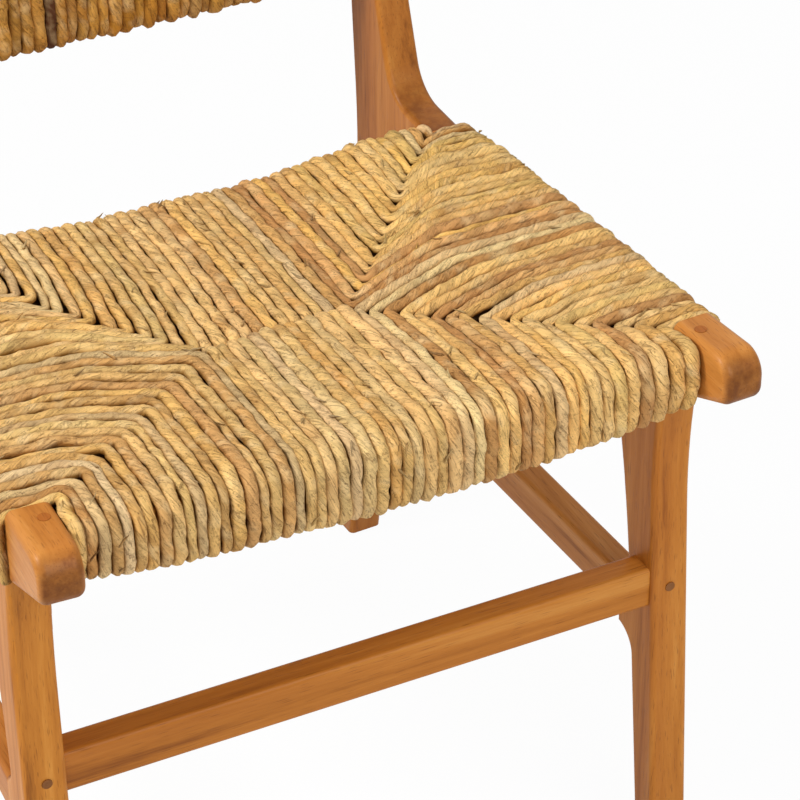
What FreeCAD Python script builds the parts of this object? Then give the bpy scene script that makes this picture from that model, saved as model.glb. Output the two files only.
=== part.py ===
import FreeCAD, Part
import math
import os
from types import SimpleNamespace

import Sketcher
from FreeCAD import Placement, Rotation, Vector

# Dining chair: two flat side frames, toed in towards the back, carry rails and stretchers
# across the chair. Rope is woven over the four seat rails and over the two back rails.
# X runs across the chair, -Y is the front, +Z is up and the floor is at zero.
# A setback is a distance behind the front of the noses and a height is above the floor,
# unless the comment over a group says where it is counted from.
SIZES = {
    # whole chair
    "overall_depth": 530.0,
    "side_half_span": 218.5,
    "toe_angle": 2.65,
    "fit_clearance": 0.2,
    "soft_clearance": 0.3,
    "cut_overrun": 5.0,
    # rope and the panels woven from it; the front roll hangs slack below its rail
    "rope_diameter": 9.0,
    "roll_round": 15.0,
    "front_roll_slack": 7.0,
    "weave_bridge_half": 50.0,
    "weave_bridge_setback": 182.0,
    # side rails: the shoulder is where the rope ends behind the bare nose
    "rail_width": 29.5,
    "shoulder_setback": 62.0,
    "shoulder_height": 459.0,
    # below the shoulder: the rail's underside at the leg and its top at the back, then its depth there
    "rail_root_setback": 70.0,
    "rail_root_height": 58.0,
    "rail_rear_top": 24.0,
    "rail_rear_bottom": 41.0,
    # the nose's top above the shoulder, and its chin below that top
    "nose_top_height": 4.0,
    "nose_brow_radius": 18.0,
    "nose_chin_height": 32.5,
    "nose_chin_radius": 10.0,
    "nose_round": 6.0,
    "rail_tenon_length": 34.0,
    "rail_tenon_height": 20.0,
    "frame_tenon_width": 10.0,
    # front legs
    "leg_width": 29.0,
    "leg_foot_setback": 53.0,
    "leg_foot_depth": 23.0,
    "leg_waist_setback": 74.0,
    "leg_top_rear_setback": 136.0,
    "leg_knee_rear_setback": 104.5,
    "leg_calf_rear_setback": 101.3,
    "leg_shin_rear_setback": 94.0,
    "leg_boss_setback": 112.0,
    "leg_tenon_setback": 84.0,
    "leg_tenon_depth": 32.0,
    "leg_tenon_height": 26.0,
    "leg_round": 4.0,
    # the front leg's bends: the shin below the side stretcher, the calf above it, the knee above the calf
    "leg_shin_height": 17.0,
    "leg_calf_height": 18.0,
    "leg_knee_height": 23.0,
    # the bend in the front of the leg, below the rail's underside
    "leg_waist_height": 101.0,
    # rear posts, with setbacks counted forwards from the back of the rear feet
    "post_width": 27.0,
    "post_foot_depth": 26.0,
    "post_hip_setback": 92.0,
    "post_hip_radius": 48.0,
    "flare_root_setback": 95.0,
    "flare_radius": 32.0,
    "post_waist_setback": 66.0,
    "post_waist_radius": 300.0,
    "post_top_setback": 36.0,
    "post_top_depth": 29.0,
    "post_top_radius": 6.0,
    "post_heel_setback": 42.0,
    "post_heel_radius": 600.0,
    "post_round": 4.0,
    # bends of the posts, above or, for the hip and the heel, below the rails' underside at the back
    "post_hip_height": 2.0,
    "post_heel_height": 29.0,
    "flare_tip_height": 41.0,
    "flare_root_height": 44.5,
    "post_waist_height": 134.0,
    # the rear ends of the seat rails, also counted forwards from the back of the rear feet
    "rail_rear_setback": 145.0,
    "back_rail_setback": 179.0,
    # the posts' tops, above the middle of the upper bar of the back
    "post_height": 30.0,
    # stretchers
    "front_stretcher_setback": 73.5,
    "front_stretcher_top": 252.0,
    "front_stretcher_height": 32.0,
    "front_stretcher_depth": 21.5,
    "side_stretcher_top": 214.0,
    "side_stretcher_height": 31.0,
    "side_stretcher_width": 21.0,
    "side_tenon_length": 16.0,
    "side_tenon_height": 19.0,
    "rear_stretcher_top": 252.0,
    "rear_stretcher_height": 31.0,
    "rear_stretcher_depth": 20.0,
    "stretcher_round": 3.5,
    # rails across the seat, with their tops below the shoulder
    "front_rail_setback": 36.0,
    "front_rail_top": 9.0,
    "front_rail_height": 34.0,
    "seat_rail_depth": 24.0,
    "back_rail_top": 23.0,
    "back_rail_height": 36.0,
    # bars between the posts, with setbacks behind the front of the posts
    "rear_stretcher_setback": 8.0,
    "lower_back_setback": 12.5,
    "upper_back_setback": 10.5,
    # the lower bar above the posts' waist, and the upper bar above the lower one
    "lower_back_height": 11.0,
    "upper_back_height": 236.0,
    "back_bar_height": 30.0,
    "back_bar_depth": 18.0,
    # tenons of the bars across the chair
    "bar_tenon_length": 20.0,
    "bar_tenon_depth": 9.0,
    "bar_tenon_height": 20.0,
    # pegs
    "stretcher_peg_diameter": 7.0,
    "stretcher_peg_length": 24.0,
    "peg_proud": 0.5,
    "rail_peg_diameter": 8.0,
    "rail_peg_setback": 46.0,
    "rail_peg_length": 36.0,
}

SIDES = {"left": -1, "right": 1}
TOLERANCE = 0.001


class Size:
    """A value together with the sheet expression that gives it."""

    def __init__(self, value, text):
        self.value = value
        self.text = text

    def __add__(self, other):
        other = as_size(other)
        return Size(self.value + other.value, f"({self.text} + {other.text})")

    def __sub__(self, other):
        other = as_size(other)
        return Size(self.value - other.value, f"({self.text} - {other.text})")

    def __mul__(self, other):
        other = as_size(other)
        return Size(self.value * other.value, f"({self.text} * {other.text})")

    def __truediv__(self, other):
        other = as_size(other)
        return Size(self.value / other.value, f"({self.text} / {other.text})")

    def __neg__(self):
        return Size(-self.value, f"(0 - {self.text})")


def as_size(value):
    """A plain number as a Size; a Size stays as it is."""
    return value if isinstance(value, Size) else Size(float(value), repr(value))


def tangent(angle):
    return Size(math.tan(math.radians(angle.value)), f"tan({angle.text} * 1 deg)")


def cosine(angle):
    return Size(math.cos(math.radians(angle.value)), f"cos({angle.text} * 1 deg)")


doc = FreeCAD.newDocument("Chair")
sheet = doc.addObject("Spreadsheet::Sheet", "Sizes")
for row, (alias, number) in enumerate(SIZES.items(), start=1):
    sheet.set(f"A{row}", alias)
    sheet.set(f"B{row}", str(number))
    sheet.setAlias(f"B{row}", alias)
doc.recompute()
s = SimpleNamespace(**{name: Size(float(sheet.get(name)), f"Sizes.{name}") for name in SIZES})


# Helpers for sketches, features and placing

def bind(feature, path, size):
    """Tie one property of a feature to the sheet."""
    feature.setExpression(path, as_size(size).text)


def back(setback):
    """Y of a point that lies this far behind the front of the noses."""
    return setback - s.overall_depth / 2


def inner_face(setback, width):
    """X of the inner face of a right-hand frame piece of this width, at a setback."""
    middle = s.side_half_span - back(setback) * tangent(s.toe_angle)
    return middle - width / cosine(s.toe_angle) / 2


def outer_face(setback, width):
    """X of the outer face of a right-hand frame piece of this width, at a setback."""
    return inner_face(setback, width) + width / cosine(s.toe_angle)


def along(start, end, setback):
    """Height at a setback on the straight line between two (setback, height) points."""
    share = (setback - start[0]) / (end[0] - start[0])
    return start[1] + (end[1] - start[1]) * share


def new_body(label):
    body = doc.addObject("PartDesign::Body", label)
    body.Label = label
    return body


def stand_in_frame(body, side):
    """Place a piece drawn in the plane of a side frame."""
    body.Placement = Placement(Vector(), Rotation(Vector(0, 0, 1), side))
    bind(body, "Placement.Base.x", s.side_half_span * side)
    body.setExpression("Placement.Rotation.Angle", f"{s.toe_angle.text} * {side} deg")


def bulge_point(start, heading, end):
    """Middle of the arc that leaves start along heading and arrives at end."""
    chord = end - start
    cross = chord.x * heading.y - chord.y * heading.x
    turn = math.atan2(cross, chord.dot(heading))
    normal = Vector(-chord.y, chord.x, 0)
    return (start + end) * 0.5 + normal * (0.5 * math.tan(turn / 2))


def outline(body, name, plane, corners, bends=None, lift=None):
    """A closed sketch through corners, with every corner tied to the sheet.

    bends maps the number of a side to "before" or "after": that side is an arc that runs
    on smoothly from the side before it, or into the side after it. lift moves the sketch
    off its plane.
    """
    bends = bends or {}
    sketch = body.newObject("Sketcher::SketchObject", f"{body.Name}_{name}")
    support = [f for f in body.Origin.OriginFeatures if f.Role == plane][0]
    sketch.AttachmentSupport = [(support, "")]
    sketch.MapMode = "FlatFace"
    if lift is not None:
        bind(sketch, "AttachmentOffset.Base.z", lift)
    points = [Vector(x.value, y.value, 0) for x, y in corners]
    count = len(points)
    starts = []
    ends = []
    for index in range(count):
        first = points[index]
        last = points[(index + 1) % count]
        if index not in bends:
            sketch.addGeometry(Part.LineSegment(first, last))
            forward = True
        else:
            if bends[index] == "before":
                middle = bulge_point(first, first - points[index - 1], last)
            else:
                middle = bulge_point(last, last - points[(index + 2) % count], first)
            forward = (middle - first).cross(last - middle).z > 0
            sketch.addGeometry(Part.Arc(first, middle, last) if forward else Part.Arc(last, middle, first))
        starts.append(1 if forward else 2)
        ends.append(2 if forward else 1)
    for index in range(count):
        following = (index + 1) % count
        smooth = bends.get(index) == "after" or bends.get(following) == "before"
        kind = "Tangent" if smooth else "Coincident"
        joint = Sketcher.Constraint(kind, index, ends[index], following, starts[following])
        sketch.addConstraint(joint)
    for index, corner in enumerate(corners):
        for kind, size in zip(("DistanceX", "DistanceY"), corner):
            rule = Sketcher.Constraint(kind, -1, 1, index, starts[index], size.value)
            bind(sketch, f"Constraints[{sketch.addConstraint(rule)}]", size)
    return sketch


def pad(body, sketch, length, name="pad"):
    """Material on both sides of the sketch's plane."""
    feature = body.newObject("PartDesign::Pad", f"{body.Name}_{name}")
    feature.Profile = sketch
    feature.SideType = "Symmetric"
    bind(feature, "Length", length)
    doc.recompute()
    return feature


def pocket(body, sketch, length, name="mortise"):
    """A slot on both sides of the sketch's plane."""
    before = body.Shape.Volume
    feature = body.newObject("PartDesign::Pocket", f"{body.Name}_{name}")
    feature.Profile = sketch
    feature.SideType = "Symmetric"
    bind(feature, "Length", length)
    doc.recompute()
    if not body.Shape.Volume < before:
        raise RuntimeError(f"{feature.Name} cuts nothing")
    return feature


def round_off(body, feature, radius, wanted, name="round"):
    """Round the edges of a feature that wanted(edge) picks."""
    edges = feature.Shape.Edges
    names = [f"Edge{n}" for n, edge in enumerate(edges, start=1) if wanted(edge)]
    fillet = body.newObject("PartDesign::Fillet", f"{body.Name}_{name}")
    fillet.Base = (feature, names)
    bind(fillet, "Radius", radius)
    doc.recompute()
    return fillet


def at_corners(*corners):
    """Picks the edges that run across a frame piece at corners of its outline."""
    places = [(y.value, z.value) for y, z in corners]

    def wanted(edge):
        box = edge.BoundBox
        middle = edge.CenterOfMass
        level = max(box.YLength, box.ZLength) < TOLERANCE
        return level and any(math.dist((middle.y, middle.z), place) < TOLERANCE for place in places)

    return wanted


def flat_across(edge):
    """True where an edge lies in one plane across X, as the rim of a frame piece does."""
    return edge.BoundBox.XLength < TOLERANCE


def rectangle(y_low, y_high, z_low, z_high):
    return [(y_low, z_low), (y_high, z_low), (y_high, z_high), (y_low, z_high)]


def block(name, low, high):
    """A box between two corners, each given as three sizes."""
    box = doc.addObject("Part::Box", name)
    for axis, path, start, end in zip("xyz", ("Length", "Width", "Height"), low, high):
        bind(box, path, end - start)
        bind(box, f"Placement.Base.{axis}", start)
    return box


def rod(name, diameter, length, base, turn):
    """A cylinder from base, turned from +Z by the rotation."""
    cylinder = doc.addObject("Part::Cylinder", name)
    cylinder.Placement = Placement(Vector(), turn)
    bind(cylinder, "Radius", diameter / 2)
    bind(cylinder, "Height", length)
    for axis, size in zip("xyz", base):
        bind(cylinder, f"Placement.Base.{axis}", size)
    return cylinder


def group(name, members):
    compound = doc.addObject("Part::Compound", name)
    compound.Label = name
    compound.Links = members
    return compound


def carve(label, base, tools):
    """The base with its tools cut away, under the piece's own name."""
    cut = doc.addObject("Part::Cut", label)
    cut.Label = label
    cut.Base = base
    cut.Tool = tools[0] if len(tools) == 1 else group(f"{label}_tools", tools)
    return cut


# Bars across the chair

def cross_bar(name, setback, depth, middle_height, height, frame_width, radius=None):
    """A bar whose ends are cut to the toed frames, with a tenon at each end."""
    body = new_body(name)
    bind(body, "Placement.Base.z", middle_height)
    front_half = inner_face(setback, frame_width)
    rear_half = inner_face(setback + depth, frame_width)
    plan = [
        (-front_half, back(setback)),
        (front_half, back(setback)),
        (rear_half, back(setback + depth)),
        (-rear_half, back(setback + depth)),
    ]
    bar = pad(body, outline(body, "plan", "XY_Plane", plan), height)
    if radius is not None:
        round_off(body, bar, radius, lambda edge: edge.BoundBox.XLength > front_half.value)
    middle = setback + depth / 2
    reach = inner_face(middle, frame_width) + s.bar_tenon_length
    low = back(middle - s.bar_tenon_depth / 2)
    high = back(middle + s.bar_tenon_depth / 2)
    tongue = rectangle(-reach, reach, low, high)
    pad(body, outline(body, "tongue", "XY_Plane", tongue), s.bar_tenon_height, "tenons")
    return body


def bar_mortise(name, side, setback, depth, middle_height, frame_width):
    """The slot that a bar's tenon needs in the frame piece on one side."""
    middle = setback + depth / 2
    face = inner_face(middle, frame_width)
    near = face - s.cut_overrun
    far = face + s.bar_tenon_length + s.fit_clearance
    x_low, x_high = (near, far) if side > 0 else (-far, -near)
    half_depth = s.bar_tenon_depth / 2 + s.fit_clearance
    half_height = s.bar_tenon_height / 2 + s.fit_clearance
    low = (x_low, back(middle) - half_depth, middle_height - half_height)
    high = (x_high, back(middle) + half_depth, middle_height + half_height)
    return block(name, low, high)


def rear(distance):
    """Setback of a point that lies this far in front of the back of the rear feet."""
    return s.overall_depth - distance


# Lines of the side frames that more than one piece follows
SHOULDER = (s.shoulder_setback, s.shoulder_height)
NOSE_TOP = (as_size(0), s.shoulder_height + s.nose_top_height)
RAIL_ROOT = (s.rail_root_setback, s.shoulder_height - s.rail_root_height)
RAIL_END = rear(s.rail_rear_setback)
RAIL_END_TOP = s.shoulder_height - s.rail_rear_top
RAIL_END_BOTTOM = RAIL_END_TOP - s.rail_rear_bottom
RAIL_REAR = (RAIL_END, RAIL_END_BOTTOM)
LEG_WAIST = (s.leg_waist_setback, RAIL_ROOT[1] - s.leg_waist_height)
STRETCHER_BOTTOM = s.side_stretcher_top - s.side_stretcher_height
POST_FOOT_FRONT = (rear(s.post_foot_depth), as_size(0))
POST_HIP = (rear(s.post_hip_setback), RAIL_END_BOTTOM - s.post_hip_height)
POST_WAIST = (rear(s.post_waist_setback), RAIL_END_BOTTOM + s.post_waist_height)
LOWER_BAR_HEIGHT = POST_WAIST[1] + s.lower_back_height
UPPER_BAR_HEIGHT = LOWER_BAR_HEIGHT + s.upper_back_height
POST_TOP = (rear(s.post_top_setback), UPPER_BAR_HEIGHT + s.post_height)


def beyond(start, end, height):
    """Setback at a height on the straight line between two (setback, height) points."""
    share = (height - start[1]) / (end[1] - start[1])
    return start[0] + (end[0] - start[0]) * share


def leg_front_of_post(height):
    """Setback of the front of a rear post at a height below the seat."""
    return beyond(POST_FOOT_FRONT, POST_HIP, height)


def back_front_of_post(height):
    """Setback of the front of a rear post at a height beside the back."""
    return beyond(POST_WAIST, POST_TOP, height)


FRONT_STRETCHER = (
    s.front_stretcher_setback,
    s.front_stretcher_depth,
    s.front_stretcher_top - s.front_stretcher_height / 2,
)
REAR_MIDDLE = s.rear_stretcher_top - s.rear_stretcher_height / 2
REAR_STRETCHER = (
    leg_front_of_post(REAR_MIDDLE) + s.rear_stretcher_setback,
    s.rear_stretcher_depth,
    REAR_MIDDLE,
)
FRONT_RAIL_BOTTOM = s.shoulder_height - s.front_rail_top - s.front_rail_height
FRONT_RAIL = (s.front_rail_setback, s.seat_rail_depth, FRONT_RAIL_BOTTOM + s.front_rail_height / 2)
BACK_RAIL_BOTTOM = s.shoulder_height - s.back_rail_top - s.back_rail_height
BACK_RAIL = (rear(s.back_rail_setback), s.seat_rail_depth, BACK_RAIL_BOTTOM + s.back_rail_height / 2)
LOWER_BACK = (
    back_front_of_post(LOWER_BAR_HEIGHT) + s.lower_back_setback,
    s.back_bar_depth,
    LOWER_BAR_HEIGHT,
)
UPPER_BACK = (
    back_front_of_post(UPPER_BAR_HEIGHT) + s.upper_back_setback,
    s.back_bar_depth,
    UPPER_BAR_HEIGHT,
)


def in_frame(points):
    """Corners given as (setback, height), as a frame sketch takes them."""
    return [(back(setback), height) for setback, height in points]


# Pegs, and the holes that take them

def stretcher_peg(name, side, spare):
    """A peg from the front of a leg through the tenon of the front stretcher."""
    setback, depth, height = FRONT_STRETCHER
    start = back(beyond((s.leg_foot_setback, as_size(0)), LEG_WAIST, height) - s.peg_proud)
    x = inner_face(setback + depth / 2, s.leg_width) + s.leg_width / 2
    base = (x * side, start, height)
    along_y = Rotation(Vector(1, 0, 0), -90)
    return rod(name, s.stretcher_peg_diameter + spare, s.stretcher_peg_length + spare, base, along_y)


def rail_peg(name, side, spare):
    """A peg from the top of a nose through the tenon of the front seat rail."""
    top = along(NOSE_TOP, SHOULDER, s.rail_peg_setback) + s.peg_proud
    x = inner_face(s.rail_peg_setback, s.rail_width) + s.bar_tenon_length / 2
    base = (x * side, back(s.rail_peg_setback), top)
    downwards = Rotation(Vector(1, 0, 0), 180)
    return rod(name, s.rail_peg_diameter + spare, s.rail_peg_length + spare, base, downwards)


# Pieces of the side frames

def front_leg(side_name, side):
    body = new_body(f"leg_blank_{side_name}")
    top_rear = (s.leg_top_rear_setback, along(RAIL_ROOT, RAIL_REAR, s.leg_top_rear_setback))
    calf_height = s.side_stretcher_top + s.leg_calf_height
    profile = [
        (s.leg_foot_setback, as_size(0)),
        (s.leg_foot_setback + s.leg_foot_depth, as_size(0)),
        (s.leg_shin_rear_setback, STRETCHER_BOTTOM - s.leg_shin_height),
        (s.leg_boss_setback, STRETCHER_BOTTOM),
        (s.leg_boss_setback, s.side_stretcher_top),
        (s.leg_calf_rear_setback, calf_height),
        (s.leg_knee_rear_setback, calf_height + s.leg_knee_height),
        top_rear,
        RAIL_ROOT,
        LEG_WAIST,
    ]
    bends = {2: "before", 4: "after", 6: "before", 8: "after"}
    blank = pad(body, outline(body, "profile", "YZ_Plane", in_frame(profile), bends), s.leg_width)
    joint_line = top_rear[1].value - s.cut_overrun.value

    def rim(edge):
        return flat_across(edge) and edge.CenterOfMass.z < joint_line

    round_off(body, blank, s.leg_round, rim)
    tenon_rear = s.leg_tenon_setback + s.leg_tenon_depth
    tenon_top = along(RAIL_ROOT, RAIL_REAR, s.leg_tenon_setback) + s.leg_tenon_height
    tenon_low = along(RAIL_ROOT, RAIL_REAR, tenon_rear) - s.cut_overrun
    tongue = rectangle(back(s.leg_tenon_setback), back(tenon_rear), tenon_low, tenon_top)
    pad(body, outline(body, "tongue", "YZ_Plane", tongue), s.frame_tenon_width, "tenon")
    slot_end = s.leg_boss_setback - s.side_tenon_length - s.fit_clearance
    slot = side_slot(slot_end, s.leg_boss_setback + s.cut_overrun)
    pocket(body, outline(body, "slot", "YZ_Plane", slot, lift=outside_lift(side)), slot_width())
    stand_in_frame(body, side)
    tools = [
        bar_mortise(f"stretcher_mortise_{side_name}", side, *FRONT_STRETCHER, s.leg_width),
        stretcher_peg(f"leg_peg_hole_{side_name}", side, s.fit_clearance),
    ]
    return carve(f"front_leg_{side_name}", body, tools)


def side_slot(start, end):
    """The mortise for a side stretcher's tenon, between two setbacks."""
    middle = s.side_stretcher_top - s.side_stretcher_height / 2
    half = s.side_tenon_height / 2 + s.fit_clearance
    return rectangle(back(start), back(end), middle - half, middle + half)


def outside_lift(side):
    """How far a side stretcher stands outside the middle of its frame, flush with the post."""
    return (s.post_width - s.side_stretcher_width) / 2 * side


def slot_width():
    return s.frame_tenon_width + s.fit_clearance * 2


def rail_tenon_corners(spare, start):
    """The tenon at the back of a side rail, or with spare its mortise in the post."""
    middle = (RAIL_END_BOTTOM + RAIL_END_TOP) / 2
    half = s.rail_tenon_height / 2 + spare
    end = RAIL_END + s.rail_tenon_length + spare
    return rectangle(back(start), back(end), middle - half, middle + half)


def side_rail(side_name, side):
    body = new_body(f"rail_blank_{side_name}")
    profile = [
        (NOSE_TOP[0], NOSE_TOP[1] - s.nose_chin_height),
        RAIL_ROOT,
        RAIL_REAR,
        (RAIL_END, RAIL_END_TOP),
        (s.shoulder_setback, s.shoulder_height - s.rope_diameter),
        SHOULDER,
        NOSE_TOP,
    ]
    corners = in_frame(profile)
    blank = pad(body, outline(body, "profile", "YZ_Plane", corners), s.rail_width)
    blank = round_off(body, blank, s.nose_chin_radius, at_corners(corners[0]), "chin")
    blank = round_off(body, blank, s.nose_brow_radius, at_corners(corners[-1]), "brow")
    nose_end = back(s.shoulder_setback).value

    def nose_rim(edge):
        return flat_across(edge) and edge.CenterOfMass.y < nose_end

    round_off(body, blank, s.nose_round, nose_rim)
    tongue = rail_tenon_corners(as_size(0), RAIL_END - s.cut_overrun)
    pad(body, outline(body, "tongue", "YZ_Plane", tongue), s.frame_tenon_width, "tenon")
    stand_in_frame(body, side)
    tools = rail_sockets(side_name, side) + [rail_peg(f"nose_peg_hole_{side_name}", side, s.fit_clearance)]
    return carve(f"side_rail_{side_name}", body, tools)


def rail_sockets(side_name, side):
    """What is cut from a side rail for the leg's tenon and for the two rails across the seat."""
    body = new_body(f"leg_socket_{side_name}")
    start = s.leg_tenon_setback - s.fit_clearance
    end = s.leg_tenon_setback + s.leg_tenon_depth + s.fit_clearance
    low = along(RAIL_ROOT, RAIL_REAR, end) - s.cut_overrun
    top = along(RAIL_ROOT, RAIL_REAR, s.leg_tenon_setback) + s.leg_tenon_height + s.fit_clearance
    slot = rectangle(back(start), back(end), low, top)
    pad(body, outline(body, "slot", "YZ_Plane", slot), slot_width())
    stand_in_frame(body, side)
    sockets[side_name] = [
        body,
        bar_mortise(f"front_rail_mortise_{side_name}", side, *FRONT_RAIL, s.rail_width),
        bar_mortise(f"back_rail_mortise_{side_name}", side, *BACK_RAIL, s.rail_width),
    ]
    return sockets[side_name]


def rear_post(side_name, side):
    body = new_body(f"post_blank_{side_name}")
    profile = [
        POST_FOOT_FRONT,
        POST_HIP,
        RAIL_REAR,
        (RAIL_END, RAIL_END_BOTTOM + s.flare_tip_height),
        (rear(s.flare_root_setback), RAIL_END_BOTTOM + s.flare_root_height),
        POST_WAIST,
        POST_TOP,
        (POST_TOP[0] + s.post_top_depth, POST_TOP[1]),
        (rear(s.post_heel_setback), RAIL_END_BOTTOM - s.post_heel_height),
        (s.overall_depth, as_size(0)),
    ]
    corners = in_frame(profile)
    blank = pad(body, outline(body, "profile", "YZ_Plane", corners), s.post_width)
    blank = round_off(body, blank, s.post_hip_radius, at_corners(corners[1]), "hip")
    blank = round_off(body, blank, s.flare_radius, at_corners(corners[4]), "flare")
    blank = round_off(body, blank, s.post_waist_radius, at_corners(corners[5]), "waist")
    blank = round_off(body, blank, s.post_top_radius, at_corners(corners[6], corners[7]), "top")
    blank = round_off(body, blank, s.post_heel_radius, at_corners(corners[8]), "heel")
    flare_tip = back(RAIL_END).value

    def rim(edge):
        middle = edge.CenterOfMass
        return flat_across(edge) and middle.z > TOLERANCE and middle.y > flare_tip + TOLERANCE

    round_off(body, blank, s.post_round, rim)
    notch = rail_tenon_corners(s.fit_clearance, RAIL_END - s.cut_overrun)
    pocket(body, outline(body, "notch", "YZ_Plane", notch), slot_width(), "rail_mortise")
    top_face = leg_front_of_post(s.side_stretcher_top)
    low_face = leg_front_of_post(STRETCHER_BOTTOM)
    slot = side_slot(top_face - s.cut_overrun, low_face + s.side_tenon_length + s.fit_clearance)
    pocket(body, outline(body, "slot", "YZ_Plane", slot, lift=outside_lift(side)), slot_width())
    stand_in_frame(body, side)
    tools = [
        bar_mortise(f"rear_stretcher_mortise_{side_name}", side, *REAR_STRETCHER, s.post_width),
        bar_mortise(f"lower_back_mortise_{side_name}", side, *LOWER_BACK, s.post_width),
        bar_mortise(f"upper_back_mortise_{side_name}", side, *UPPER_BACK, s.post_width),
    ]
    return carve(f"rear_post_{side_name}", body, tools)


def side_stretcher(side_name, side):
    body = new_body(f"side_stretcher_{side_name}")
    profile = [
        (s.leg_boss_setback, STRETCHER_BOTTOM),
        (leg_front_of_post(STRETCHER_BOTTOM), STRETCHER_BOTTOM),
        (leg_front_of_post(s.side_stretcher_top), s.side_stretcher_top),
        (s.leg_boss_setback, s.side_stretcher_top),
    ]
    lift = outside_lift(side)
    side_view = outline(body, "profile", "YZ_Plane", in_frame(profile), lift=lift)
    bar = pad(body, side_view, s.side_stretcher_width)
    long_edge = s.side_stretcher_height.value
    round_off(body, bar, s.stretcher_round, lambda edge: edge.BoundBox.YLength > long_edge)
    middle = s.side_stretcher_top - s.side_stretcher_height / 2
    half = s.side_tenon_height / 2
    front_end = s.leg_boss_setback - s.side_tenon_length
    rear_end = leg_front_of_post(STRETCHER_BOTTOM) + s.side_tenon_length
    tongue = rectangle(back(front_end), back(rear_end), middle - half, middle + half)
    pad(body, outline(body, "tongue", "YZ_Plane", tongue, lift=lift), s.frame_tenon_width, "tenons")
    stand_in_frame(body, side)
    return body


# Woven panels

SEAT_REAR = rear(s.back_rail_setback) + s.seat_rail_depth + s.rope_diameter


def seat_profile(body, front, bottom_front, end, bottom_rear):
    """Side view of the woven seat: rolled at the front and the back, flat above and below."""
    corner = s.roll_round
    top_line_end = (RAIL_END, RAIL_END_TOP + s.rope_diameter)
    front_top = along(SHOULDER, top_line_end, front + corner)
    rear_top = along(SHOULDER, top_line_end, end - corner)
    profile = [
        (front + corner, bottom_front),
        (end - corner, bottom_rear),
        (end, bottom_rear + corner),
        (end, rear_top - corner),
        (end - corner, rear_top),
        (front + corner, front_top),
        (front, front_top - corner),
        (front, bottom_front + corner),
    ]
    bends = {1: "before", 3: "before", 5: "before", 7: "before"}
    return outline(body, "side_view", "YZ_Plane", in_frame(profile), bends)


def woven_panel(label, plan, bottom_front, bottom_rear, wood):
    """One triangle or trapezium of the seat weave, wrapped round its rails."""
    front = s.front_rail_setback - s.rope_diameter
    roll = new_body(f"{label}_roll")
    across = outer_face(as_size(0), s.rail_width) * 2 + s.rope_diameter * 4
    pad(roll, seat_profile(roll, front, bottom_front, SEAT_REAR, bottom_rear), across)
    prism = new_body(f"{label}_plan")
    bind(prism, "Placement.Base.z", s.shoulder_height)
    pad(prism, outline(prism, "plan", "XY_Plane", plan), s.shoulder_height)
    panel = doc.addObject("Part::Common", f"{label}_whole")
    panel.Base = roll
    panel.Tool = prism
    sleeve = carve(f"{label}_sleeve", panel, [wood])
    return carve(label, sleeve, sockets["left"] + sockets["right"])


def seat_panels(wood):
    """Four panels that meet on the seams from the corners to the bridge in the middle."""
    front = s.front_rail_setback - s.rope_diameter
    corner = s.shoulder_setback + s.soft_clearance
    bridge = s.weave_bridge_setback
    half = s.weave_bridge_half
    gap = s.soft_clearance

    def inside(setback):
        return inner_face(setback, s.rail_width) - gap

    def outside(setback):
        return outer_face(setback, s.rail_width) + s.rope_diameter

    def mirrored(points):
        return [(-x, y) for x, y in reversed(points)]

    front_half = [
        (inside(front), back(front)),
        (inside(corner), back(corner)),
        (half, back(bridge)),
    ]
    rear_half = [
        (half, back(bridge)),
        (inside(SEAT_REAR), back(SEAT_REAR)),
    ]
    right = [
        (inside(corner), back(corner)),
        (outside(corner), back(corner)),
        (outside(SEAT_REAR), back(SEAT_REAR)),
        (inside(SEAT_REAR), back(SEAT_REAR)),
        (half, back(bridge)),
    ]
    front_bottom = FRONT_RAIL_BOTTOM - s.rope_diameter - s.front_roll_slack
    rear_bottom = BACK_RAIL_BOTTOM - s.rope_diameter
    side_bottom = RAIL_ROOT[1] - s.rope_diameter
    return [
        woven_panel("seat_weave_front", front_half + mirrored(front_half), front_bottom, rear_bottom, wood),
        woven_panel("seat_weave_back", rear_half + mirrored(rear_half), front_bottom, rear_bottom, wood),
        woven_panel("seat_weave_right", right, side_bottom, rear_bottom, wood),
        woven_panel("seat_weave_left", mirrored(right), side_bottom, rear_bottom, wood),
    ]


def back_panel(bars):
    """The woven back, wrapped round the two bars between the posts."""
    body = new_body("back_weave_whole")
    half_depth = s.back_bar_depth / 2 + s.rope_diameter
    half_height = s.back_bar_height / 2 + s.rope_diameter
    low = LOWER_BACK[0] + s.back_bar_depth / 2
    high = UPPER_BACK[0] + s.back_bar_depth / 2
    low_side = LOWER_BAR_HEIGHT - s.back_bar_height / 2
    high_side = UPPER_BAR_HEIGHT + s.back_bar_height / 2
    profile = [
        (high - half_depth, high_side),
        (low - half_depth, low_side),
        (low, LOWER_BAR_HEIGHT - half_height),
        (low + half_depth, low_side),
        (high + half_depth, high_side),
        (high, UPPER_BAR_HEIGHT + half_height),
    ]
    bends = {1: "before", 2: "after", 4: "before", 5: "after"}
    width = (inner_face(high + half_depth, s.post_width) - s.soft_clearance) * 2
    pad(body, outline(body, "profile", "YZ_Plane", in_frame(profile), bends), width)
    return carve("back_weave", body, [group("back_bars", bars)])


# The pieces

nodes = []
sockets = {}
legs = [front_leg(name, side) for name, side in SIDES.items()]
rails = [side_rail(name, side) for name, side in SIDES.items()]
posts = [rear_post(name, side) for name, side in SIDES.items()]
nodes += legs + rails + posts
nodes += [side_stretcher(name, side) for name, side in SIDES.items()]

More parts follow.
